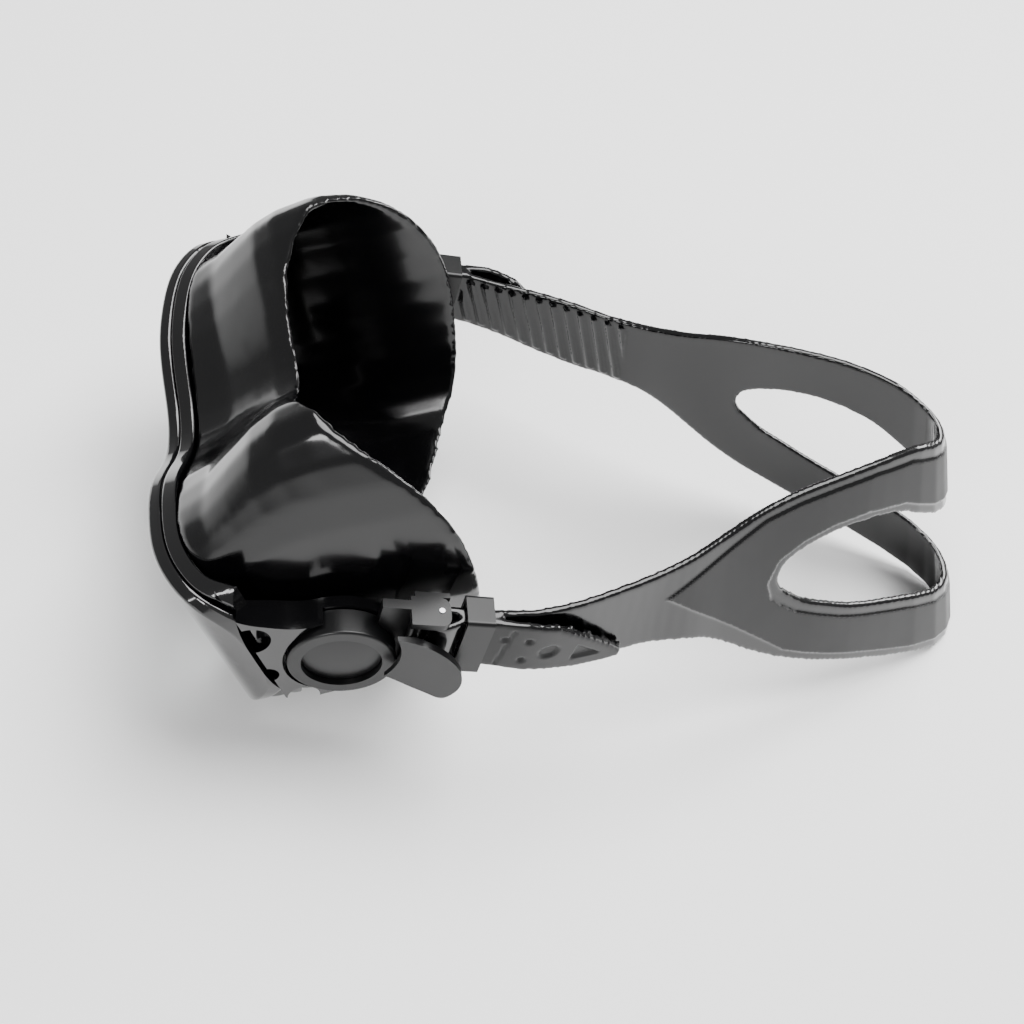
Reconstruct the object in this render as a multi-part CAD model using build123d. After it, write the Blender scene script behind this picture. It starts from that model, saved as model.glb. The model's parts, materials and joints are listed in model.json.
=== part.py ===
from build123d import *
import os
from math import cos, radians, sin

# Diving mask with a split silicone strap on two swivel buckles. Millimetres.
# The finished part stands on Z = 0: the frame's lower rims and the rear of the
# strap touch the ground. +X is the wearer's left, -Y the lens side, +Z up.
# Two working frames share one X axis, the swivel axis of the buckles:
#   buckle frame: +Y runs back along the level buckles
#   mask frame:   the buckle frame turned by LENS_PITCH, lenses facing -Y

# ---- driving dimensions -------------------------------------------------
LENS_PITCH = 12.5          # mask leans forward of the buckles, degrees
REST_TILT = 15.134         # whole part turned so that front and rear touch ground
RUN_FIT = 0.05             # radial clearance of pins and posts
GAP = 0.3                  # clearance between moving bodies
HUB_HEIGHT = 52.62         # swivel axis above the ground
SHIFT_Y = -91.37           # swivel axis ahead of the middle of the part

# frame
FRAME_DEPTH = 8.5          # front to back of the closed frame
BEZEL_DEPTH = 4.0          # front half of that depth
RIM = 5.0                  # frame width round a lens
LENS_THICK = 3.2
LENS_LIP = 1.6             # bezel edge that covers the lens
LENS_WRAP = 9.0            # each lens turned back at its outer side, degrees
LENS_FRONT_Y = -39.4       # lens front face in the middle of the eye
LENS_MID_X = 36.0
ARM_THICK = 3.4

FRAME_AT = (-0.9, -1.8)     # origin of the frame's outlines (Y, Z) from the swivel axis

# swivel hub
HUB_X = 67.4               # outer face of the arm's hub plate
HUB_R = 16.4
POST_R = 7.0
POST_END_X = 72.0
CAP_R = 11.0
CAP_TOP_X = 74.6

# buckle, in its own frame turned rear-down by BUCKLE_DROP
BUCKLE_DROP = 14.0
RING_R = 15.2
RING_X = (67.7, 75.6)
CHANNEL_Z = 8.2            # middle of the strap channel above the swivel axis
CHEEK_IN = 10.9            # channel middle to the inner faces of the cheeks
CHEEK_THICK = 2.4
CHEEK_X = (66.2, 75.6)
CHEEK_END_Y = 27.0
TONGUE_END_Y = 38.5        # inner plate carries the keeper
BASE_X = (64.6, 66.2)      # inner plate of the buckle, flat towards the head
TONGUE_X = (65.2, 66.2)
ROLLER_Y = 24.4
ROLLER_X = 70.6
ROLLER_R = 1.5
PIN_R = 0.8
KEEPER_Y = (31.8, 39.7)
KEEPER_X = (63.6, 73.8)
KEEPER_WALL = 1.5
LEVER_PIN_Y = 17.7
LEVER_PIN_X = 73.0
PADDLE_X = (76.9, 79.2)

# strap
STRAP_THICK = 2.4
STRAP_HALF = 10.3          # half width at the buckles
STRAP_MAIN_X = 67.6        # middle of the strap where it enters the buckle

os.makedirs("parts", exist_ok=True)


def save(name, shape, turn=0.0):
    """Write one node, turned from its working frame to the standing part's frame."""
    placed = Pos(0, SHIFT_Y, HUB_HEIGHT) * Rot(REST_TILT + turn, 0, 0) * shape
    export_step(placed, f"parts/{name}.step")


def save_pair(name, shape, turn=0.0):
    """Write a left hand shape and its mirror image."""
    save(name + "_left", shape, turn)
    save(name + "_right", mirrored(shape), turn)


def mirrored(shape):
    """The wearer's right hand copy of a left hand shape."""
    return mirror(shape, Plane.YZ)


def x_cylinder(radius, x0, x1, y=0.0, z=0.0):
    """Cylinder along X from x0 to x1."""
    return Pos((x0 + x1) / 2, y, z) * Rot(0, 90, 0) * Cylinder(radius, abs(x1 - x0))


def z_cylinder(radius, z0, z1, x, y):
    """Cylinder along Z from z0 to z1."""
    return Pos(x, y, (z0 + z1) / 2) * Cylinder(radius, abs(z1 - z0))


def block(x0, x1, y0, y1, z0, z1):
    """Box between two corners."""
    return Pos((x0 + x1) / 2, (y0 + y1) / 2, (z0 + z1) / 2) * Box(x1 - x0, y1 - y0, z1 - z0)


# ---- outlines -----------------------------------------------------------
# Half outlines (X >= 0), in the mask frame unless said otherwise.
FRAME_TOP = [(0, 25), (14, 29.5), (28, 37), (44, 39.8), (58, 39.8), (68, 37), (73.5, 29)]
FRAME_SIDE = [(73.5, 29), (75.5, 12), (74.6, -4), (70, -17), (60, -27.5)]
FRAME_LOW = [(60, -27.5), (45, -34.8), (32, -34), (21.5, -25), (13.5, -10), (7, 2), (0, 6.5)]
LENS_OUTLINE = [(10, 18), (18, 25), (30, 31.5), (44, 34), (55, 32.5), (61, 25), (62, 12),
                (60, -3), (54, -16), (45, -26), (36, -28), (28, -21), (19, -6), (11, 8)]
FRONT_PLAN = [(0, -44.6), (20, -44.3), (40, -42.6), (54, -40), (64, -35.6), (71.5, -29), (75.4, -21)]
ARM_OUTLINE_TOP = [(-30, 40), (-25, 36.5), (-21, 29.5), (-14, 22.5), (-7, 17.6), (0, 16.4)]
ARM_OUTLINE_LOW = [(0, -16.4), (-8, -16.2), (-16, -14.6), (-23, -10.5), (-30, -4)]
RECESSES = [(-20.0, 18.4, 5.6), (-21.2, 0.8, 3.2), (-15.6, -14.0, 4.6)]


def face_of(edges, plane=None):
    """Face inside a closed run of edges, moved to a plane."""
    face = make_face(edges)
    return face if plane is None else plane * face


def offset_points(points, distance):
    """Open run of plan points moved sideways; the first point keeps its X."""
    moved = []
    last = len(points) - 1
    for i, (x, y) in enumerate(points):
        ax, ay = points[max(i - 1, 0)]
        bx, by = points[min(i + 1, last)]
        length = ((bx - ax) ** 2 + (by - ay) ** 2) ** 0.5
        nx, ny = -(by - ay) / length, (bx - ax) / length
        if i == 0:
            nx, ny = 0.0, 1.0
        moved.append((x + nx * distance, y + ny * distance))
    return moved


def both_sides(half):
    """A half shape with its mirror image, as one solid."""
    return half + mirrored(half)


def front_band(near, far):
    """Curved slab that follows the frame's front, between two depths behind it."""
    a, b = offset_points(FRONT_PLAN, near), offset_points(FRONT_PLAN, far)
    edges = [Spline(a, tangents=[(1, 0), (a[-1][0] - a[-2][0], a[-1][1] - a[-2][1])])]
    edges += [Line(a[-1], b[-1])]
    edges += [Spline(b, tangents=[(1, 0), (b[-1][0] - b[-2][0], b[-1][1] - b[-2][1])])]
    edges += [Line(b[0], a[0])]
    return both_sides(Pos(0, 0, -60) * extrude(face_of(edges), 130, dir=(0, 0, 1)))


def frame_outline():
    """Solid block, deep along Y, of the frame's front outline."""
    edges = [Spline(FRAME_TOP, tangents=[(1, 0), (0.35, -1)])]
    edges += [Spline(FRAME_SIDE, tangents=[(0.35, -1), (-1, -0.65)])]
    edges += [Spline(FRAME_LOW, tangents=[(-1, -0.65), (-1, 0)])]
    edges += [Line(FRAME_LOW[-1], FRAME_TOP[0])]
    face = face_of(edges)
    half = extrude(Plane.XZ * face, 60, both=True)
    half = half & block(0, 100, -100, 100, -100, 100)
    return both_sides(half)


def grown_loop(points, distance):
    """Closed clockwise run of points moved outward."""
    moved = []
    for i, (x, z) in enumerate(points):
        ax, az = points[i - 1]
        bx, bz = points[(i + 1) % len(points)]
        length = ((bx - ax) ** 2 + (bz - az) ** 2) ** 0.5
        moved.append((x - (bz - az) / length * distance, z + (bx - ax) / length * distance))
    return moved


def lens_block(grow, y0, y1):
    """Solid of one lens outline, grown or shrunk, between two depths from its front face."""
    face = face_of([Spline(grown_loop(LENS_OUTLINE, grow), periodic=True)])
    solid = Pos(0, y1, 0) * extrude(Plane.XZ * face, y1 - y0)
    turned = Rot(0, 0, LENS_WRAP) * (Pos(-LENS_MID_X, 0, 0) * solid)
    return Pos(LENS_MID_X, LENS_FRONT_Y, 0) * turned


def long_edges(shape, limit):
    """Edges longer than a limit."""
    return [edge for edge in shape.edges() if edge.length > limit]


# ---- frame --------------------------------------------------------------
def make_bezel():
    """Front half of the frame, with the two lens windows."""
    body = front_band(0, BEZEL_DEPTH) & frame_outline()
    body = fillet(long_edges(body, 60), 1.2)
    window = both_sides_list(lens_block(-LENS_LIP, -12, 20))
    pocket = both_sides_list(lens_block(0.1, 0, 20))
    for tool in window + pocket:
        body = body - tool
    return Pos(0, *FRAME_AT) * body


def both_sides_list(shape):
    """A shape and its mirror image, kept apart."""
    return [shape, mirrored(shape)]


def make_arm():
    """Left temple arm: a curved plate from the frame's side to the hub plate."""
    outer = [(75.2, -24), (75.2, -19), (74.2, -11), (72.6, 2), (71, 18)]
    inner = [(64, 18), (64, 0), (65, -12), (67.5, -20), (68.5, -24)]
    plan = face_of([Spline(outer), Line(outer[-1], inner[0]), Spline(inner), Line(inner[-1], outer[0])])
    plate = Pos(0, 0, -60) * extrude(plan, 130, dir=(0, 0, 1))
    top, low = ARM_OUTLINE_TOP, ARM_OUTLINE_LOW
    side = face_of([Spline(top), Line(top[-1], low[0]), Spline(low), Line(low[-1], top[0])])
    side = extrude(Plane.YZ * side, 120)
    arm = plate & (side + x_cylinder(HUB_R, 60, 80))
    arm = arm - x_cylinder(HUB_R - 0.1, HUB_X, 90)
    arm = arm - block(60, 90, 0, 30, -40, 40) + x_cylinder(HUB_R, HUB_X - ARM_THICK, HUB_X)
    arm = arm + x_cylinder(POST_R, HUB_X - 1, POST_END_X)
    return arm


def make_main_frame():
    """Rear half of the frame with both arms, recesses, posts and lens seats."""
    body = front_band(BEZEL_DEPTH, FRAME_DEPTH) & frame_outline()
    body = Pos(0, *FRAME_AT) * fillet(long_edges(body, 60), 0.8)
    arm = make_arm() - Pos(0, *FRAME_AT) * front_facets(BEZEL_DEPTH + 0.02)
    body = body + arm + mirrored(arm)
    seat = both_sides_list(Pos(0, *FRAME_AT) * lens_block(0.1, -1, LENS_THICK))
    window = both_sides_list(Pos(0, *FRAME_AT) * lens_block(-1.0, -12, 20))
    holes = []
    for y, z, radius in RECESSES:
        holes += both_sides_list(x_cylinder(radius, 71.6, 90, y, z))
    screw = x_cylinder(1.5, 60, POST_END_X + 1) + x_cylinder(3.1, POST_END_X - 2.0, POST_END_X + 1)
    holes += both_sides_list(screw)
    for tool in seat + window + holes:
        body = body - tool
    return body


def make_hub_cap():
    """Low domed disc over the end of the swivel post."""
    rise = 0.9
    dome_radius = (CAP_R ** 2 + rise ** 2) / (2 * rise)
    dome = Pos(CAP_TOP_X - dome_radius, 0, 0) * Sphere(dome_radius)
    cap = x_cylinder(CAP_R, POST_END_X, CAP_TOP_X + 1) & dome
    return fillet(cap.edges().filter_by(GeomType.CIRCLE).group_by(Axis.X)[-1], 0.4)


def make_hub_screw():
    """Countersunk screw that closes the post."""
    return x_cylinder(1.45, HUB_X - ARM_THICK, POST_END_X - 1) + x_cylinder(3.0, POST_END_X - 1.9, POST_END_X - 0.1)


# ---- skirt --------------------------------------------------------------
SKIRT_WALL = 2.2
SKIRT_SECTIONS = [
    (-44, [(0, 21), (14, 25.5), (28, 32.5), (43, 36), (55, 35.5), (62, 28), (63.4, 12), (61.5, -4),
           (54, -18), (44, -28.5), (32, -30.5), (22, -22), (13, -7), (0, 1)]),
    (-24, [(0, 27), (12, 30.5), (27, 40.5), (43, 45.5), (55, 42.5), (61.5, 31), (62.4, 12), (60.8, -6),
           (54, -21), (44, -31), (32, -34), (21, -29), (11, -22), (0, -18)]),
    (-6, [(0, 36), (11, 39.5), (26, 54), (41, 60), (52, 53.5), (59, 37), (60.3, 12), (58.5, -8),
          (52.5, -24), (43, -34), (31, -38), (20, -38), (10, -38), (0, -38)]),
    (12, [(0, 38), (10.5, 43.5), (25, 60), (40, 66.5), (51, 57.5), (57.5, 38), (59.8, 10), (57, -10),
          (51, -26), (41, -36), (30, -39.5), (20, -41), (10, -43), (0, -43.5)]),
    (48, [(0, 38), (10.5, 43), (25, 59), (40, 65.5), (51, 57), (57, 37), (59, 10), (56.5, -10),
          (50.5, -26), (41, -36), (30, -39.5), (20, -41), (10, -43), (0, -43.5)]),
]
SEAL_SIDE = [(9, 80), (12, 69), (17, 64), (23, 59), (32, 49), (39.5, 34), (42.5, 10), (40, -8),
             (36, -24), (29, -35), (18, -41), (8, -46), (4, -60)]
SEAL_BROW = [(0, 1), (10, 1), (20, 3), (30, 8), (38, 14), (46, 23), (53, 36), (60, 52)]
NOSE_SECTIONS = [
    (3, [(-37, 0), (-36, 4.2), (-28, 6), (-16, 7)]),
    (-12, [(-42, 0), (-39.5, 6.5), (-28, 10.5), (-8, 12)]),
    (-27, [(-44, 0), (-41, 9), (-26, 15), (-2, 16)]),
    (-36.5, [(-33, 0), (-31, 9), (-20, 14.5), (4, 15.5)]),
]


def between(a, b, c, d, t):
    """Point of a smooth curve from b to c, a share t along it; a and d lie before and after."""
    values = []
    for p, q, r, s in zip(a, b, c, d):
        bend = (r - p) * t + (2 * p - 5 * q + 4 * r - s) * t * t + (3 * q - p - 3 * r + s) * t ** 3
        values.append(q + bend / 2)
    return tuple(values)


def smooth_run(points, steps, before=None, after=None):
    """Open run of points with steps - 1 more on a smooth curve in each interval."""
    ends = [before or points[0]] + list(points) + [after or points[-1]]
    run = []
    for a, b, c, d in zip(ends, ends[1:], ends[2:], ends[3:]):
        run += [between(a, b, c, d, k / steps) for k in range(steps)]
    return run + [points[-1]]


def smooth_half(half, steps):
    """Smooth run whose two ends lie on the mirror plane X = 0."""
    first, last = half[1], half[-2]
    return smooth_run(half, steps, (-first[0], first[1]), (-last[0], last[1]))


def smooth_sections(sections, steps):
    """More sections, on smooth curves through the matching points of the given ones."""
    flat = [[level] + [v for point in half for v in point] for level, half in sections]
    runs = smooth_run(flat, steps)
    return [(run[0], list(zip(run[1::2], run[2::2]))) for run in runs]


def tube(sections, inset):
    """Solid through closed mirror-symmetric outlines at several depths along Y."""
    faces = []
    for y, half in smooth_sections(sections, 2):
        half = smooth_half(half, 2)
        points = [(x * (1 - inset / 60), z - inset * (1 if z > 10 else -1)) for x, z in half]
        whole = points + [(-x, z) for x, z in reversed(points[1:-1])]
        faces.append(Pos(0, y, 0) * (Plane.XZ * face_of([Polyline(whole + [whole[0]])])))
    return loft(faces, ruled=True)


def nose_block(inset):
    """Solid of the nose pocket, lofted through level outlines."""
    faces = []
    lowest = NOSE_SECTIONS[-1][0]
    for z, half in smooth_sections(NOSE_SECTIONS, 2):
        half = smooth_run(half, 3, (half[1][0], -half[1][1]))
        points = [(x * (1 - inset / 15), y + inset * (1 if y < -15 else -1)) for y, x in half]
        whole = points + [(-x, y) for x, y in reversed(points[1:])]
        face = face_of([Polyline(whole + [whole[0]])])
        faces.append(Pos(0, 0, z + (inset if z == lowest else 0)) * face)
    return loft(faces, ruled=True)


def front_facets(far):
    """Everything ahead of a surface that follows the frame's front."""
    line = offset_points(smooth_run(FRONT_PLAN, 3, (-20, -44.3)), far)
    whole = line + [(90, line[-1][1]), (90, -90), (0, -90), line[0]]
    return both_sides(Pos(0, 0, -70) * extrude(face_of([Polyline(whole)]), 160, dir=(0, 0, 1)))


def seal_cut():
    """Everything behind the face seal's edge."""
    side = face_of([Spline(SEAL_SIDE), Line(SEAL_SIDE[-1], (90, -60)), Line((90, -60), (90, 80)),
                    Line((90, 80), SEAL_SIDE[0])])
    behind = extrude(Plane.YZ * side, 100, both=True)
    brow = SEAL_BROW
    plan = face_of([Spline(brow), Line(brow[-1], (60, 90)), Line((60, 90), (0, 90)), Line((0, 90), brow[0])])
    dip = Pos(0, 0, 22) * extrude(plan, 70, dir=(0, 0, 1))
    return [behind, dip, mirrored(dip)]


def make_skirt():
    """Silicone skirt: eye windows, flared wall with a brow dip, and the nose pocket."""
    shell = tube(SKIRT_SECTIONS, 0) - front_facets(FRAME_DEPTH + 0.05)
    room = tube(SKIRT_SECTIONS, SKIRT_WALL) - front_facets(FRAME_DEPTH + 0.05 + SKIRT_WALL)
    body = shell - room + nose_block(0) - nose_block(SKIRT_WALL)
    for tool in both_sides_list(lens_block(-3.2, -12, 30)) + seal_cut():
        body = body - tool
    return Pos(0, *FRAME_AT) * body


def make_lens():
    """Flat tempered lens of the left eye."""
    return Pos(0, *FRAME_AT) * lens_block(0, 0.05, LENS_THICK - 0.05)


# ---- buckle -------------------------------------------------------------
CHANNEL = (CHANNEL_Z - CHEEK_IN, CHANNEL_Z + CHEEK_IN)
BARREL_R = 1.8
PADDLE = [(12.3, 18.5), (20, 16.2), (26.4, 12), (31.5, 6.5), (33.8, 1.5), (34.2, -3.5), (33, -7),
          (30.5, -9.6), (26.2, -8), (19.7, -4.2), (11.8, 0.5), (14.6, 9.5)]
SPRING_Z = (6.2, 10.2)


def make_cheek(z0, z1):
    """Side plate of the strap channel with a rounded rear end."""
    cheek = block(*CHEEK_X, 15.9, CHEEK_END_Y, z0, z1)
    rear = cheek.edges().filter_by(Axis.Z).group_by(Axis.Y)[-1]
    return fillet(rear, 3.0) - x_cylinder(HUB_R + 0.4, 60, RING_X[0])


def make_buckle_body():
    """Swivel ring, inner plate with the keeper tongue, and the two cheeks."""
    low, high = CHANNEL
    body = x_cylinder(RING_R, *RING_X)
    body = fillet(body.edges().filter_by(GeomType.CIRCLE).group_by(Axis.X)[-1], 0.8)
    body = body + block(RING_X[0], 70.7, 8, 18.8, low - CHEEK_THICK, high + CHEEK_THICK)
    body = body + block(BASE_X[0], 70.7, 17.1, 18.8, low - CHEEK_THICK, high + CHEEK_THICK)
    body = body + block(*BASE_X, 17.1, CHEEK_END_Y, low - CHEEK_THICK, high + CHEEK_THICK)
    body = body + block(*TONGUE_X, 20, TONGUE_END_Y, CHANNEL_Z - 7, CHANNEL_Z + 7)
    body = body + make_cheek(low - CHEEK_THICK, low) + make_cheek(high, high + CHEEK_THICK)
    body = body - x_cylinder(POST_R + RUN_FIT, 60, 80)
    body = body - x_cylinder(CAP_R + GAP, POST_END_X - GAP, 80)
    body = body - z_cylinder(PIN_R, low - 10, high + 10, ROLLER_X, ROLLER_Y)
    return body - z_cylinder(PIN_R, low - 1.4, high + 1.4, LEVER_PIN_X, LEVER_PIN_Y)


def make_roller_pin():
    """Cross pin pressed through both cheeks."""
    low, high = CHANNEL
    return z_cylinder(PIN_R, low - CHEEK_THICK - 0.3, high + CHEEK_THICK + 0.3, ROLLER_X, ROLLER_Y)


def make_roller():
    """Sleeve that turns on the cross pin under the strap."""
    low, high = CHANNEL[0] + GAP, CHANNEL[1] - GAP
    sleeve = z_cylinder(ROLLER_R, low, high, ROLLER_X, ROLLER_Y)
    return sleeve - z_cylinder(PIN_R + RUN_FIT, low - 1, high + 1, ROLLER_X, ROLLER_Y)


def make_lever_pin():
    """Hinge pin of the release lever."""
    return z_cylinder(PIN_R, CHANNEL[0] - 1.3, CHANNEL[1] + 1.3, LEVER_PIN_X, LEVER_PIN_Y)


def make_release_lever():
    """Paddle, web, hinge barrel and pawl tooth of the strap release."""
    low, high = CHANNEL[0] + GAP, CHANNEL[1] - GAP
    x, y = LEVER_PIN_X, LEVER_PIN_Y
    paddle = extrude(Plane.YZ * face_of([Spline(PADDLE[:11]), Spline(PADDLE[10:] + PADDLE[:1])]), 100)
    paddle = paddle & block(*PADDLE_X, -10, 60, -30, 40)
    bevel = face_of([Polyline([(76, y), (76.9, y), (78.1, 11), (76, 11), (76, y)])])
    lever = paddle - Pos(0, 0, -40) * extrude(bevel, 80, dir=(0, 0, 1))
    lever = lever + z_cylinder(BARREL_R, low, high, x, y) + block(x, 77.4, y - 1.2, y + 1.4, low + 3, high - 5)
    lever = lever + block(x - 1.4, x - 0.4, y, y + 2.3, low + 3, high - 3)
    room = block(x - 3, x + 3, y - 3, y + 3, *SPRING_Z) & block(60, 75.4, 0, 40, -9, 40)
    return lever - room - z_cylinder(PIN_R + RUN_FIT, low - 1, high + 1, x, y)


def make_lever_spring():
    """Torsion spring round the hinge pin, as one closed sleeve."""
    z0, z1 = SPRING_Z[0] + 0.3, SPRING_Z[1] - 0.3
    coil = z_cylinder(1.5, z0, z1, LEVER_PIN_X, LEVER_PIN_Y)
    return coil - z_cylinder(PIN_R + 0.1, z0 - 1, z1 + 1, LEVER_PIN_X, LEVER_PIN_Y)


def make_keeper():
    """Rectangular loop that holds the strap and its tail on the tongue."""
    half, wall = 12.4, KEEPER_WALL
    loop = block(*KEEPER_X, *KEEPER_Y, CHANNEL_Z - half, CHANNEL_Z + half)
    loop = fillet(loop.edges().filter_by(Axis.Y), 1.2)
    hole = block(KEEPER_X[0] + wall - 0.05, KEEPER_X[1] - wall, 0, 60, CHANNEL_Z - 10.8, CHANNEL_Z + 10.8)
    return loop - hole


# ---- strap --------------------------------------------------------------
# Middle lines of the band in plan (X, Y), rear to front, at two heights.
STRAP_TOP_PLAN = [(0, 186.5), (8.5, 182), (18.2, 166), (24.6, 151.2), (29.4, 138.3), (34.2, 126.2),
                  (39.2, 114.9), (45, 103.8), (51.2, 92.1), (57.4, 80), (62.4, 67.9), (65.8, 55.5),
                  (67.4, 45), (67.6, 38)]
STRAP_LOW_PLAN = [(0, 215.5), (18, 206), (35.5, 173), (43.5, 154.5), (48.5, 141), (53.5, 127.5),
                  (58.5, 114.5), (63.5, 101.5), (63.2, 88.5), (62.5, 77.5), (63.5, 66.5), (66.2, 55.5),
                  (67.4, 45), (67.6, 38)]
STRAP_PLAN_Z = (10.0, -114.0)
# Side outlines (Y, Z) of the band and of its split.
STRAP_UPPER = [(43.3, 8.3), (55.5, 4.2), (67.9, 2), (80, 0.4), (92.1, -1.4), (103.8, -1.3), (114.9, 0.8),
               (126.2, 3.8), (138.3, 5), (151.2, 4.9), (164.5, 3.9), (178.5, 0.6), (191.5, -7), (229.5, -27)]
STRAP_LOWER = [(38.3, -11.7), (55.5, -19.5), (67.5, -25), (79.5, -29), (91.5, -32), (103.5, -36.8),
               (112, -42.5), (119.8, -50.2), (128.1, -58.7), (136.5, -66.1), (144.5, -72), (155.5, -79),
               (171.5, -88.5), (189.5, -99), (215.5, -112.8), (231.5, -113.9)]
SPLIT_UPPER = [(134, -28.5), (136, -22.5), (142.5, -19.2), (151.5, -17.6), (162.5, -18.5), (175.5, -23),
               (186.5, -31.5), (204.5, -44), (239.5, -62)]
SPLIT_LOWER = [(134, -28.5), (135.5, -34), (138.9, -38.3), (144.6, -44.3), (153.1, -50.4), (161.7, -56.2),
               (170.5, -61.2), (189.5, -71), (210.5, -83), (244.5, -99)]
TAIL_PLAN = [(73.6, 24.4), (73.2, 26.6), (71.9, 29.4), (70.8, 32), (70.8, 39.7), (71.2, 47), (70.8, 54),
             (69, 62), (66.3, 71), (63.4, 80), (61.6, 86)]
TAIL_SIDE = [(24.4, 18.5), (49.8, 18.5), (59.4, 16.3), (71, 8.2), (79.5, 1.3), (84.6, -3.4), (84.2, -6.4),
             (78.7, -7.1), (69, -6.6), (63.2, -5.5), (52.7, -3.7), (43.2, -2.2), (24.4, -2.1), (24.4, 18.5)]


def band_face(line, half):
    """U-shaped face of a band of constant thickness round both sides of a rear middle point."""
    line = smooth_run(line, 3, (-line[1][0], line[1][1]))
    outer, inner = offset_points(line, half), offset_points(line, -half)
    left = outer + inner[::-1]
    right = [(-x, y) for x, y in left[::-1][1:-1]]
    whole = left + right
    return face_of([Polyline(whole + [whole[0]])])


def side_block(points):
    """Block, wide along X, of a side outline."""
    return extrude(Plane.YZ * face_of([Polyline(points + [points[0]])]), 120, both=True)


def make_strap_end():
    """Left strap end in the buckle frame: entry, wrap round the roller, and tail."""
    low, high = CHANNEL_Z - STRAP_HALF, CHANNEL_Z + STRAP_HALF
    half = STRAP_THICK / 2
    entry = block(STRAP_MAIN_X - half, STRAP_MAIN_X + half, ROLLER_Y, 43, low, high)
    wrap = z_cylinder(ROLLER_R + GAP + STRAP_THICK, low, high, ROLLER_X, ROLLER_Y)
    wrap = wrap - z_cylinder(ROLLER_R + GAP, low - 1, high + 1, ROLLER_X, ROLLER_Y)
    wrap = wrap & block(60, 80, 0, ROLLER_Y, low, high)
    outer = offset_strip(smooth_run(TAIL_PLAN, 3), half)
    tail = Pos(0, 0, -20) * extrude(outer, 50, dir=(0, 0, 1))
    tail = tail & extrude(Plane.YZ * face_of([Polyline(TAIL_SIDE)]), 100)
    return entry + wrap + tail


def offset_strip(line, half):
    """Thin face along an open run of plan points."""
    ends = [line[0], line[-1]]
    left, right = [], []
    for i, (x, y) in enumerate(line):
        ax, ay = line[max(i - 1, 0)]
        bx, by = line[min(i + 1, len(line) - 1)]
        if (x, y) == ends[0]:
            ax, ay, bx, by = 0, 0, 0, 1
        length = ((bx - ax) ** 2 + (by - ay) ** 2) ** 0.5
        nx, ny = (by - ay) / length * half, -(bx - ax) / length * half
        left.append((x + nx, y + ny))
        right.append((x - nx, y - ny))
    whole = left + right[::-1]
    return face_of([Polyline(whole + [whole[0]])])


def make_strap():
    """One-piece split strap with both ends, in the level frame of the swivel axis."""
    half = STRAP_THICK / 2
    top = Pos(0, 0, STRAP_PLAN_Z[0]) * band_face(STRAP_TOP_PLAN, half)
    low = Pos(0, 0, STRAP_PLAN_Z[1]) * band_face(STRAP_LOW_PLAN, half)
    band = loft([low, top], ruled=True)
    band = band & side_block(smooth_run(STRAP_UPPER, 3) + smooth_run(STRAP_LOWER, 3)[::-1])
    split = smooth_run(SPLIT_LOWER[::-1] + SPLIT_UPPER[1:], 3)
    band = band - side_block(split)
    end = Rot(-BUCKLE_DROP, 0, 0) * make_strap_end()
    return band + end + mirrored(end)


# ---- nodes --------------------------------------------------------------
save("main_frame", make_main_frame(), LENS_PITCH)
save("bezel", make_bezel(), LENS_PITCH)
save("skirt", make_skirt(), LENS_PITCH)
save_pair("lens", make_lens(), LENS_PITCH)
save_pair("hub_cap", make_hub_cap(), LENS_PITCH)
save_pair("hub_screw", make_hub_screw(), LENS_PITCH)
save_pair("buckle_body", make_buckle_body(), -BUCKLE_DROP)
save_pair("strap_keeper", make_keeper(), -BUCKLE_DROP)
save_pair("release_lever", make_release_lever(), -BUCKLE_DROP)
save_pair("lever_pin", make_lever_pin(), -BUCKLE_DROP)
save_pair("lever_spring", make_lever_spring(), -BUCKLE_DROP)
save_pair("strap_roller", make_roller(), -BUCKLE_DROP)
save_pair("roller_pin", make_roller_pin(), -BUCKLE_DROP)
save("strap", make_strap())
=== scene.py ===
"""Diving mask: finishes, soft shapes and studio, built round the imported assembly.

Lengths are metres in the standing part's frame: +X to the wearer's left,
+Y from the lenses to the back of the strap, +Z up.
"""

import json
import logging
from dataclasses import dataclass, field
from enum import Enum
from math import cos, radians, sin

import bpy
import numpy as np
from mathutils import Matrix, Vector

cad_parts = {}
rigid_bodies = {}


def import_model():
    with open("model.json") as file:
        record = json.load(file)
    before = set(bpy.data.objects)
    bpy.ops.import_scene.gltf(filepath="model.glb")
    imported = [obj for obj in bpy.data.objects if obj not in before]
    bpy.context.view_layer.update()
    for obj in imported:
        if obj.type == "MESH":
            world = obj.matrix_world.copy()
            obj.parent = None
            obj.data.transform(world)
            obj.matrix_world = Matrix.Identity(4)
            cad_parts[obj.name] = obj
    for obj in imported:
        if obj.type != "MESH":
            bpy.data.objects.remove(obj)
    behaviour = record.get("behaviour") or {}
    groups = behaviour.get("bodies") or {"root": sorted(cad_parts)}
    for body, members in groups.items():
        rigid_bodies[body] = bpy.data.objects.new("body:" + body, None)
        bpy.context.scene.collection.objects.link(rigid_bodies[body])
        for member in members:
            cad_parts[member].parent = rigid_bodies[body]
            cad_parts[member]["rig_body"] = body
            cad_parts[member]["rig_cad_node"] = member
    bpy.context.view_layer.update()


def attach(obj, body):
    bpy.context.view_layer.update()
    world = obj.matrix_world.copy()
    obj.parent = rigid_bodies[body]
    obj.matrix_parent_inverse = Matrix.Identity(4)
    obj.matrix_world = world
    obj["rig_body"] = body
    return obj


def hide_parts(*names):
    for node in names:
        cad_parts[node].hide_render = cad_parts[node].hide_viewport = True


logging.basicConfig(level=logging.INFO, format="%(message)s")
LOG = logging.getLogger("diving_mask")

MM = 0.001
SWIVEL = Vector((0.0, -0.09137, 0.05262))  # middle of the buckles' common hinge line
REST_TILT = 15.134  # degrees between the level strap's frame and the standing part
SMEAR_MM = 1000 / 60  # width of the patches where the sheen changes a little

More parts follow.
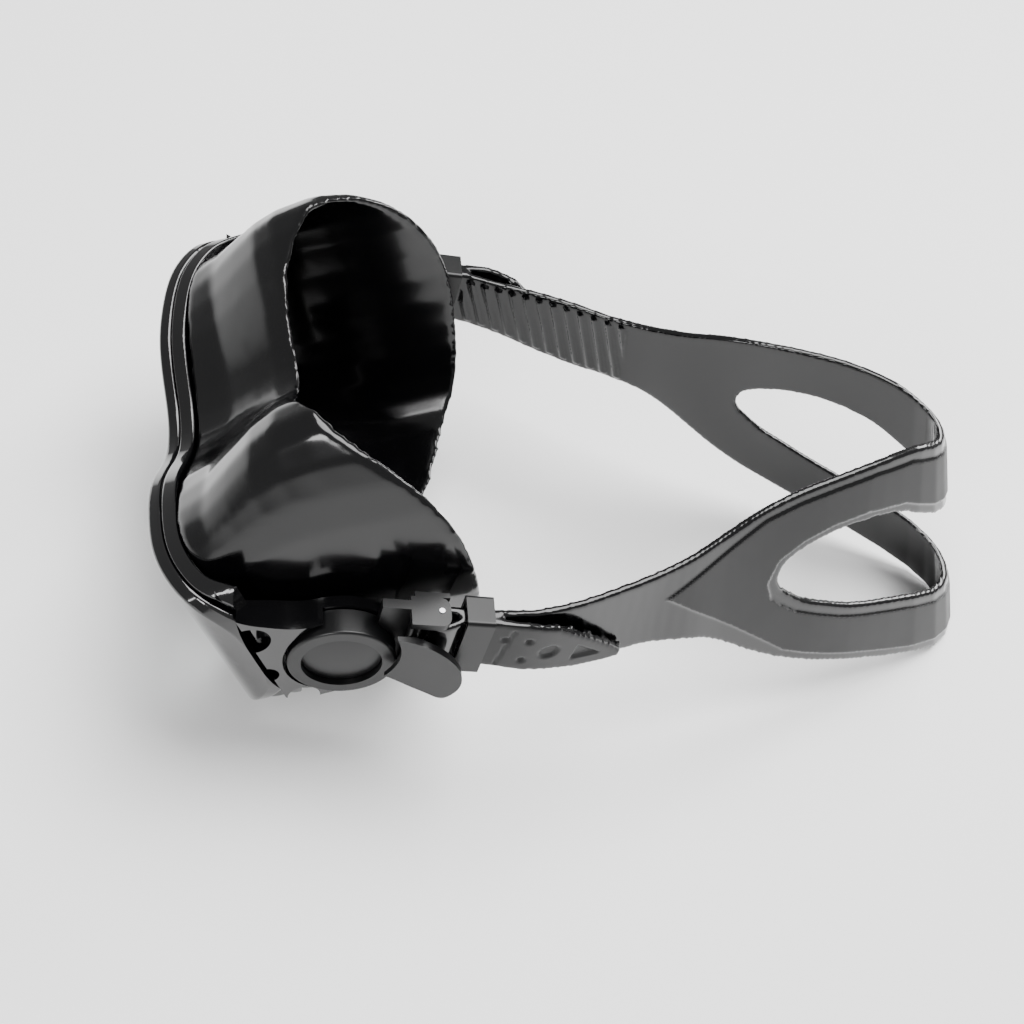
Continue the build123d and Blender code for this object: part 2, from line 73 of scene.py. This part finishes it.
Outline = list[tuple[float, float]]
Circle = tuple[float, float, float]


class Side(Enum):
    """Side of the wearer, as node names end."""

    LEFT = "left"
    RIGHT = "right"


def linear(code: str) -> tuple[float, float, float, float]:
    """Linear colour of an sRGB hex code.

    Args:
        code: six hex digits.

    Returns:
        Linear red, green, blue and full alpha.
    """
    values = [int(code[i:i + 2], 16) / 255 for i in (0, 2, 4)]
    low = [v / 12.92 if v <= 0.04045 else ((v + 0.055) / 1.055) ** 2.4 for v in values]
    return (low[0], low[1], low[2], 1.0)


def add_node(material: bpy.types.Material, kind: str, **inputs) -> bpy.types.Node:
    """Add one shader node and set its input values.

    Args:
        material: the material that gets the node.
        kind: node type name.
        **inputs: input values, with underscores for spaces in the names.

    Returns:
        The new node.
    """
    node = material.node_tree.nodes.new(kind)
    for name, value in inputs.items():
        node.inputs[name.replace("_", " ")].default_value = value
    return node


@dataclass(frozen=True)
class Finish:
    """One material: colour, gloss and a fine surface relief."""

    name: str
    colour: str
    roughness: float
    spread: float = 0.03
    coat: float = 0.0
    metallic: float = 0.0
    grain_mm: float = 0.5
    relief_mm: float = 0.0
    specular: float = 0.3
    glass: bool = False

    def build(self) -> bpy.types.Material:
        """Build the node tree.

        Returns:
            The material.
        """
        material = bpy.data.materials.new(self.name)
        material.use_nodes = True
        links = material.node_tree.links
        shader = material.node_tree.nodes["Principled BSDF"]
        shader.inputs["Base Color"].default_value = linear(self.colour)
        shader.inputs["Metallic"].default_value = self.metallic
        shader.inputs["Roughness"].default_value = self.roughness
        shader.inputs["Coat Weight"].default_value = self.coat
        shader.inputs["Coat Roughness"].default_value = 0.08
        shader.inputs["Specular IOR Level"].default_value = self.specular
        if self.glass:
            shader.inputs["Transmission Weight"].default_value = 1.0
            shader.inputs["IOR"].default_value = 1.5
            return material
        place_in = add_node(material, "ShaderNodeTexCoord")
        smear = add_node(material, "ShaderNodeTexNoise", Scale=1 / (SMEAR_MM * MM), Detail=3.0)
        links.new(place_in.outputs["Object"], smear.inputs["Vector"])
        spread = add_node(material, "ShaderNodeMapRange")
        spread.inputs["To Min"].default_value = self.roughness - self.spread
        spread.inputs["To Max"].default_value = self.roughness + self.spread
        links.new(smear.outputs["Fac"], spread.inputs["Value"])
        links.new(spread.outputs["Result"], shader.inputs["Roughness"])
        if self.relief_mm:
            per_metre = 1 / (self.grain_mm * MM)
            grain = add_node(material, "ShaderNodeTexNoise", Scale=per_metre, Detail=2.0)
            depth = self.relief_mm * MM
            bump = add_node(material, "ShaderNodeBump", Strength=0.5, Distance=depth)
            links.new(place_in.outputs["Object"], grain.inputs["Vector"])
            links.new(grain.outputs["Fac"], bump.inputs["Height"])
            links.new(bump.outputs["Normal"], shader.inputs["Normal"])
        return material


# Polished frame: mirror-like highlights with hardly any texture.
GLOSS_FRAME = Finish("polished black polycarbonate", "030304", 0.08, spread=0.02, coat=0.5,
                     specular=0.4)
# Skirt and strap: soft wide highlights with a slightly uneven sheen.
SILICONE = Finish("glossy black silicone", "040405", 0.16, spread=0.04, coat=0.2, grain_mm=0.9,
                  relief_mm=0.003, specular=0.35)
# Raised strap panel and tail: dull against the glossy band.
SILICONE_MATTE = Finish("matte black silicone", "060607", 0.42, spread=0.05, grain_mm=0.35,
                        relief_mm=0.01, specular=0.3)
# Buckles and hubs: fine moulded texture that breaks up the highlights.
SATIN_NYLON = Finish("satin black nylon", "070708", 0.34, spread=0.05, grain_mm=0.25,
                     relief_mm=0.01, specular=0.35)
# Pins, springs and screws: plain bright metal.
STEEL = Finish("stainless steel", "a9a9ab", 0.28, spread=0.06, metallic=1.0)
# Lenses: clear, so that the inside of the skirt shows through them.
GLASS = Finish("tempered glass", "f2f6f5", 0.0, specular=0.5, glass=True)
# Ground: pale and even, with soft shadows only.
PAPER = Finish("white paper", "f4f4f4", 0.9, spread=0.02)


@dataclass
class Palette:
    """Materials built once and shared."""

    made: dict[str, bpy.types.Material] = field(default_factory=dict)

    def get(self, finish: Finish) -> bpy.types.Material:
        """Material of a finish.

        Args:
            finish: the finish.

        Returns:
            The one material built for it.
        """
        if finish.name not in self.made:
            self.made[finish.name] = finish.build()
        return self.made[finish.name]

    def dress(self, piece: bpy.types.Object, finish: Finish) -> None:
        """Give a piece one finish.

        Args:
            piece: mesh object.
            finish: its finish.
        """
        piece.data.materials.clear()
        piece.data.materials.append(self.get(finish))


def pick(piece: bpy.types.Object) -> None:
    """Make one object the only selected and the active one.

    Args:
        piece: the object.
    """
    bpy.ops.object.select_all(action="DESELECT")
    piece.select_set(True)
    bpy.context.view_layer.objects.active = piece


def twin(node: str, name: str) -> bpy.types.Object:
    """Separate copy of a frame node, ready to be reshaped.

    Args:
        node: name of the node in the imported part.
        name: name of the new piece.

    Returns:
        The copy.
    """
    source = bpy.data.objects[node]
    pick(source)
    bpy.ops.object.duplicate()
    piece = bpy.context.active_object
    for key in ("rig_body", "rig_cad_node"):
        if key in piece:
            del piece[key]
    piece.parent = None
    piece.name = name
    return piece


def apply_modifier(piece: bpy.types.Object, kind: str, **settings) -> None:
    """Add one modifier, set it and apply it.

    Args:
        piece: mesh object.
        kind: modifier type.
        **settings: modifier properties.
    """
    pick(piece)
    modifier = piece.modifiers.new(kind.lower(), kind)
    for key, value in settings.items():
        setattr(modifier, key, value)
    bpy.ops.object.modifier_apply(modifier=modifier.name)


@dataclass
class Softener:
    """Turns a faceted soft part into a smooth one with rounded edges."""

    voxel_mm: float
    passes: int
    strength: float = 0.5
    quick_voxels: float = 2.0

    def run(self, piece: bpy.types.Object) -> None:
        """Remesh at an even spacing and smooth.

        Args:
            piece: closed mesh object.
        """
        voxel = self.voxel_mm * 1.0
        apply_modifier(piece, "REMESH", mode="VOXEL", voxel_size=voxel * MM)
        apply_modifier(piece, "SMOOTH", factor=self.strength, iterations=self.passes)
        pick(piece)
        bpy.ops.object.shade_smooth()


@dataclass
class Skirt:
    """Silicone face seal."""

    palette: Palette
    softener: Softener = field(default_factory=lambda: Softener(0.82, 20))

    def build(self) -> list[bpy.types.Object]:
        """Build the smooth skirt.

        Returns:
            The new pieces.
        """
        piece = twin("skirt", "skirt_silicone")
        self.softener.run(piece)
        self.palette.dress(piece, SILICONE)
        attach(piece, "mask")
        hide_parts("skirt")
        return [piece]


def edge_distance(points: np.ndarray, outline: Outline) -> np.ndarray:
    """Distance from flat points to a closed outline, positive inside it.

    Args:
        points: rows of two coordinates.
        outline: corners of the outline.

    Returns:
        One signed distance per point.
    """
    nearest = np.full(len(points), 1e9)
    inside = np.zeros(len(points), bool)
    for first, last in zip(outline, outline[1:] + outline[:1]):
        a, b = np.array(first), np.array(last)
        run = b - a
        share = np.clip((points - a) @ run / (run @ run), 0, 1)
        gap = np.linalg.norm(points - a - share[:, None] * run, axis=1)
        nearest = np.minimum(nearest, gap)
        crosses = (a[1] > points[:, 1]) != (b[1] > points[:, 1])
        reach = a[0] + (points[:, 1] - a[1]) * run[0] / (run[1] or 1e-9)
        inside ^= crosses & (points[:, 0] < reach)
    return np.where(inside, nearest, -nearest)


def ramp(distance: np.ndarray, width: float) -> np.ndarray:
    """Smooth step from 0 at a distance of 0 to 1 at a width.

    Args:
        distance: signed distances.
        width: distance over which the step rises.

    Returns:
        Values from 0 to 1.
    """
    share = np.clip(distance / width, 0, 1)
    return share * share * (3 - 2 * share)


@dataclass
class Relief:
    """Moves the surface of a dense mesh in or out along its normals."""

    tilt: float = REST_TILT

    def read(self, piece: bpy.types.Object) -> tuple[np.ndarray, np.ndarray]:
        """Points and normals in the strap's frame.

        Args:
            piece: mesh object.

        Returns:
            Points in millimetres from the swivel axis, and unit normals.
        """
        count = len(piece.data.vertices)
        points, normals = np.zeros(count * 3), np.zeros(count * 3)
        piece.data.vertices.foreach_get("co", points)
        piece.data.vertex_normals.foreach_get("vector", normals)
        points = (points.reshape(-1, 3) - np.array(SWIVEL)) / MM
        return self.back(points), self.back(normals.reshape(-1, 3))

    def back(self, rows: np.ndarray) -> np.ndarray:
        """Turn rows from the standing part's axes to the strap's frame.

        Args:
            rows: points or normals, one to a row.

        Returns:
            The turned rows.
        """
        c, s = cos(radians(self.tilt)), sin(radians(self.tilt))
        x, y, z = rows.T
        return np.stack([x, y * c + z * s, z * c - y * s], 1)

    @staticmethod
    def push(piece: bpy.types.Object, height: np.ndarray) -> None:
        """Move every vertex along its normal.

        Args:
            piece: mesh object.
            height: millimetres for each vertex.
        """
        count = len(piece.data.vertices)
        points, normals = np.zeros(count * 3), np.zeros(count * 3)
        piece.data.vertices.foreach_get("co", points)
        piece.data.vertex_normals.foreach_get("vector", normals)
        moved = points.reshape(-1, 3) + normals.reshape(-1, 3) * height[:, None] * MM
        piece.data.vertices.foreach_set("co", moved.ravel())
        piece.data.update()


@dataclass
class Strap:
    """Split silicone strap with ribbed ends, raised outer panels and dimpled tails.

    Outlines are side views, as Y and Z in millimetres from the buckles' hinge line.
    """

    palette: Palette
    softener: Softener = field(default_factory=lambda: Softener(0.66, 8))
    facing: float = 0.35  # how squarely a surface faces in or out before it takes relief
    rear_start: float = 150.0  # behind this the band also faces backwards
    rib_pitch: float = 4.3
    rib_height: float = 0.75
    rib_slant: float = 0.15
    rib_margin: float = 1.6
    rib_span: tuple[float, float] = (42.0, 97.0)
    panel_height: float = 0.6
    panel_margin: float = 3.2
    panel_tip: tuple[float, float] = (95.0, -13.5)
    panel_drop: float = 0.35  # fall of the panel's middle line for each millimetre back
    panel_spread: float = 0.8  # half width gained for each millimetre back
    panel_edge: float = 0.6  # share of the height where the dull finish begins
    tail_span: tuple[float, float] = (38.0, 84.0)
    tail_depth: float = 0.85
    tail_gap: float = 1.9  # the tail's outer face lies further than this outside the band
    big_dimple: Circle = (58.6, -9.5, 3.3)
    small_dimples: tuple[Circle, ...] = ((52.9, -1.6, 1.5), (50.4, -10.6, 1.5), (46.2, 0.4, 1.5))
    arrow: Outline = field(default_factory=lambda: [(64.8, -17.9), (67.3, -10.6), (75.0, -20.4)])
    groove: Outline = field(default_factory=lambda: [
        (48.4, 5.2), (49.6, 4.8), (42.8, -12.6), (41.6, -12.2)])
    middle_line: Outline = field(default_factory=lambda: [
        (38, 67.6), (45, 67.4), (55.5, 66), (67.9, 63), (80, 60), (92.1, 57.5)])
    outline: Outline = field(default_factory=lambda: [
        (43.3, 8.3), (55.5, 4.2), (67.9, 2), (80, 0.4), (92.1, -1.4), (103.8, -1.3), (114.9, 0.8),
        (126.2, 3.8), (138.3, 5), (151.2, 4.9), (164.5, 3.9), (178.5, 0.6), (191.5, -7),
        (260, -43), (260, -140), (215.5, -112.8), (189.5, -99), (171.5, -88.5), (155.5, -79),
        (144.5, -72), (136.5, -66.1), (128.1, -58.7), (119.8, -50.2), (112, -42.5),
        (103.5, -36.8), (91.5, -32), (79.5, -29), (67.5, -25), (55.5, -19.5), (38.3, -11.7)])
    split: Outline = field(default_factory=lambda: [
        (134, -28.5), (136, -22.5), (142.5, -19.2), (151.5, -17.6), (162.5, -18.5),
        (175.5, -23), (186.5, -31.5), (204.5, -44), (260, -73), (260, -107), (210.5, -83),
        (189.5, -71), (170.5, -61.2), (161.7, -56.2), (153.1, -50.4), (144.6, -44.3),
        (138.9, -38.3), (135.5, -34)])

    def panel(self, flat: np.ndarray) -> np.ndarray:
        """Share of the raised panel at each side-view point.

        Args:
            flat: rows of Y and Z in the strap's frame.

        Returns:
            0 outside the panel to 1 on it.
        """
        rim = edge_distance(flat, self.outline) - self.panel_margin
        hole = -edge_distance(flat, self.split) - self.panel_margin
        back = flat[:, 0] - self.panel_tip[0]
        up = flat[:, 1] - self.panel_tip[1] + self.panel_drop * back
        wedge = (back * self.panel_spread - np.abs(up)) * 0.7
        return ramp(np.minimum(np.minimum(rim, hole), wedge), 0.9)

    def tail_cuts(self, flat: np.ndarray) -> np.ndarray:
        """Share of the tail's recesses at each side-view point.

        Args:
            flat: rows of Y and Z in the strap's frame.

        Returns:
            0 outside the recesses to 1 at their floors.
        """
        depth = np.zeros(len(flat))
        for y, z, radius in (self.big_dimple,) + self.small_dimples:
            reach = radius - np.hypot(flat[:, 0] - y, flat[:, 1] - z)
            depth = np.maximum(depth, ramp(reach, 0.8))
        for outline in (self.arrow, self.groove):
            depth = np.maximum(depth, ramp(edge_distance(flat, outline), 0.7))
        return depth

    def ribs(self, flat: np.ndarray) -> np.ndarray:
        """Share of the rib height at each side-view point.

        Args:
            flat: rows of Y and Z in the strap's frame.

        Returns:
            0 between the ribs to 1 on their crests.
        """
        first, last = self.rib_span
        margin = ramp(edge_distance(flat, self.outline) - self.rib_margin, 0.7)
        near = ramp(flat[:, 0] - first, 1.0) * ramp(last - flat[:, 0], 1.0)
        along = flat[:, 0] + self.rib_slant * flat[:, 1]
        wave = np.cos(2 * np.pi * along / self.rib_pitch)
        return ramp(wave + 0.3, 0.8) * margin * near

    def tail_mask(self, points: np.ndarray) -> np.ndarray:
        """Which points lie on the tail and not on the band under it.

        Args:
            points: points in the strap's frame.

        Returns:
            True for each point of the tail.
        """
        stations, widths = zip(*self.middle_line)
        middle = np.interp(points[:, 1], stations, widths)
        first, last = self.tail_span
        in_span = (points[:, 1] > first) & (points[:, 1] < last)
        return in_span & (np.abs(points[:, 0]) > middle + self.tail_gap)

    def build(self) -> list[bpy.types.Object]:
        """Build the smooth strap with its relief.

        Returns:
            The new pieces.
        """
        piece = twin("strap", "strap_silicone")
        self.softener.run(piece)
        points, normals = Relief().read(piece)
        flat = points[:, 1:]
        backwards = np.where(points[:, 1] > self.rear_start, normals[:, 1], 0)
        away = np.sign(points[:, 0]) * normals[:, 0] + backwards
        outer, inner = away > self.facing, away < -self.facing
        tail = outer & self.tail_mask(points)
        panel = self.panel(flat)
        height = np.where(outer & ~tail, panel * self.panel_height, 0)
        height = height - np.where(tail, self.tail_cuts(flat) * self.tail_depth, 0)
        height = height + np.where(inner, self.ribs(flat) * self.rib_height, 0)
        Relief.push(piece, height)
        self.palette.dress(piece, SILICONE)
        piece.data.materials.append(self.palette.get(SILICONE_MATTE))
        dull = (outer & ~tail & (panel > self.panel_edge)) | tail
        for face in piece.data.polygons:
            if all(dull[v] for v in face.vertices):
                face.material_index = 1
        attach(piece, "strap_assembly")
        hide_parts("strap")
        return [piece]


@dataclass
class Hardware:
    """Moulded, metal and glass nodes that keep their own shapes."""

    palette: Palette
    polished: tuple[str, ...] = ("main_frame", "bezel")
    satin: tuple[str, ...] = ("hub_cap", "buckle_body", "strap_keeper", "release_lever",
                              "strap_roller")
    metal: tuple[str, ...] = ("hub_screw", "lever_pin", "lever_spring", "roller_pin")
    clear: tuple[str, ...] = ("lens",)

    def dress(self) -> None:
        """Give every kept node its finish."""
        for node in self.polished:
            self.palette.dress(bpy.data.objects[node], GLOSS_FRAME)
        sets = ((self.satin, SATIN_NYLON), (self.metal, STEEL), (self.clear, GLASS))
        for side in Side:
            for stems, finish in sets:
                for stem in stems:
                    self.palette.dress(bpy.data.objects[f"{stem}_{side.value}"], finish)


@dataclass(frozen=True)
class Lamp:
    """One soft square light: place and aim in metres, edge in metres, power in watts."""

    name: str
    spot: tuple[float, float, float]
    aim: tuple[float, float, float]
    edge: float
    power: float

    def hang(self) -> None:
        """Put the light in the scene."""
        data = bpy.data.lights.new(self.name, "AREA")
        data.size, data.energy = self.edge, self.power
        lamp = bpy.data.objects.new(self.name, data)
        bpy.context.scene.collection.objects.link(lamp)
        lamp.location = self.spot
        way = Vector(self.aim) - Vector(self.spot)
        lamp.rotation_euler = way.to_track_quat("-Z", "Y").to_euler()


@dataclass
class Studio:
    """Pale ground, soft lights and the camera."""

    palette: Palette
    ground_edge: float = 8.0
    ground_drop: float = 0.0005  # ground a hair below the part, so that they never share a plane
    sky: str = "ffffff"
    sky_strength: float = 0.5
    lens_mm: float = 55.35
    sensor_mm: float = 36.0
    eye: tuple[float, float, float] = (0.3119, -0.16276, 0.41961)
    heading: float = 85.0  # degrees round from the lens side, in the strap's frame
    height: float = 52.5  # degrees above the strap's level, in the strap's frame
    clip: tuple[float, float] = (0.01, 20.0)
    lamps: tuple[Lamp, ...] = (
        Lamp("overhead", (-0.25, 0.15, 1.2), (0, 0, 0), 0.9, 34.0),
        Lamp("window", (0.9, -0.7, 0.8), (0, -0.05, 0.05), 0.4, 10.0),
        Lamp("rim", (-0.6, 0.9, 0.6), (0, 0, 0.05), 0.4, 8.0),
    )

    def ground(self) -> None:
        """Wide flat floor under the part."""
        spot = (0, 0, -self.ground_drop)
        bpy.ops.mesh.primitive_plane_add(size=self.ground_edge, location=spot)
        floor = bpy.context.active_object
        floor.name = "floor"
        self.palette.dress(floor, PAPER)

    def camera(self) -> None:
        """Place the camera by its eye point and axes."""
        a, e, t = radians(self.heading), radians(self.height), radians(REST_TILT)
        right = Vector((cos(a), sin(a), 0))
        back = Vector((sin(a) * cos(e), -cos(a) * cos(e), sin(e)))
        tilt = Matrix.Rotation(t, 3, "X")
        axes = [tilt @ right, tilt @ back.cross(right), tilt @ back]
        data = bpy.data.cameras.new("camera")
        data.lens, data.sensor_width = self.lens_mm, self.sensor_mm
        data.clip_start, data.clip_end = self.clip
        camera = bpy.data.objects.new("camera", data)
        bpy.context.scene.collection.objects.link(camera)
        turned = Matrix(axes).transposed().to_4x4()
        camera.matrix_world = Matrix.Translation(Vector(self.eye)) @ turned
        bpy.context.scene.camera = camera

    def build(self) -> None:
        """Build ground, camera, sky and lights."""
        self.ground()
        self.camera()
        world = bpy.data.worlds.new("studio")
        world.use_nodes = True
        sky = world.node_tree.nodes["Background"]
        sky.inputs["Color"].default_value = linear(self.sky)
        sky.inputs["Strength"].default_value = self.sky_strength
        bpy.context.scene.world = world
        for lamp in self.lamps:
            lamp.hang()


def main() -> None:
    """Build the soft pieces, dress the rest and light the scene."""
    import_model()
    palette = Palette()
    pieces: list[bpy.types.Object] = []
    for part in (Skirt(palette), Strap(palette)):
        pieces += part.build()
    Hardware(palette).dress()
    for piece in pieces:
        LOG.info("%s: %d faces", piece.name, len(piece.data.polygons))
    Studio(palette).build()


if __name__ == "__main__":
    main()
